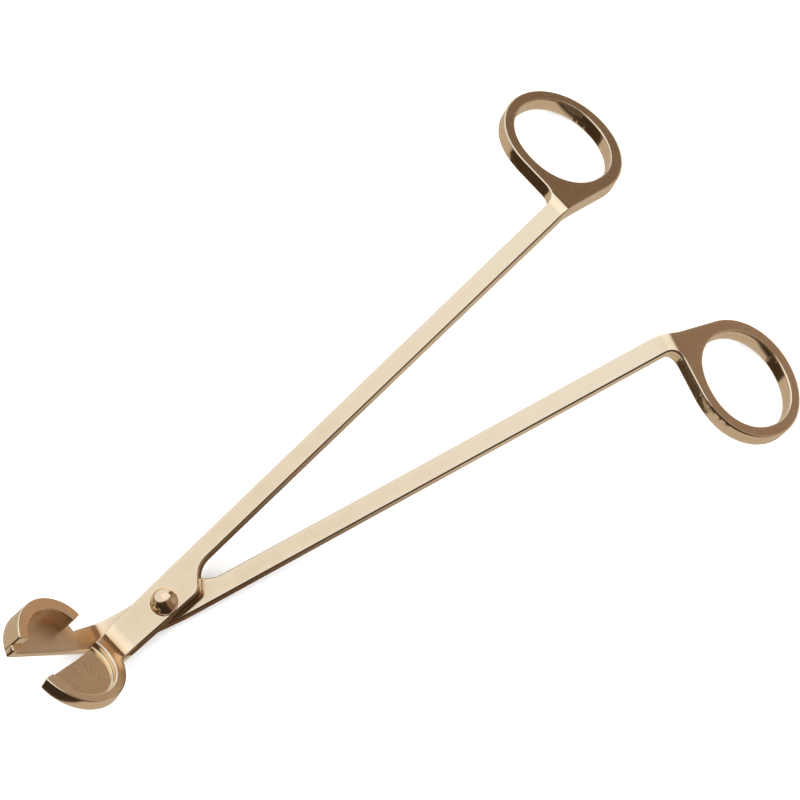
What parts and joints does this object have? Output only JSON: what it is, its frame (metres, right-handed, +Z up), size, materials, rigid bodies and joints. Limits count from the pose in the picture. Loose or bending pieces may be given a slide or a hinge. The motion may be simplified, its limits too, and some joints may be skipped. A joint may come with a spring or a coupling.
{
  "type": "wick trimmer",
  "caption": "Scissor-action candle wick trimmer with oval finger loops, a hooked cutting head and a half-round catch tray on a domed rivet.",
  "frame": {"origin": "middle of the bounding box in plan, on the table the trimmer lies on", "axes": "+X from the cutting heads to the finger loops, +Y towards the loop of the tray half, +Z up from the table with the rivet's dome on top"},
  "size_m": [0.1784, 0.0962, 0.0251],
  "materials": {
    "upper_half": "steel with polished rose-gold plating",
    "lower_half": "steel with polished rose-gold plating",
    "rivet": "steel with mirror-polished rose-gold plating"
  },
  "bodies": {
    "lower_half": {"lower_half_hook": "lower_half", "pivot_rivet": "rivet"},
    "upper_half": {"upper_half_tray": "upper_half"}
  },
  "joints": [
    {"name": "pivot", "type": "hinge", "parent": "lower_half", "child": "upper_half", "pos_m": [-0.0534, -0.00009, 0.00511], "axis": [-0.1127, 0.0447, 0.9926], "range_deg": [-15.5, 44.5]}
  ]
}
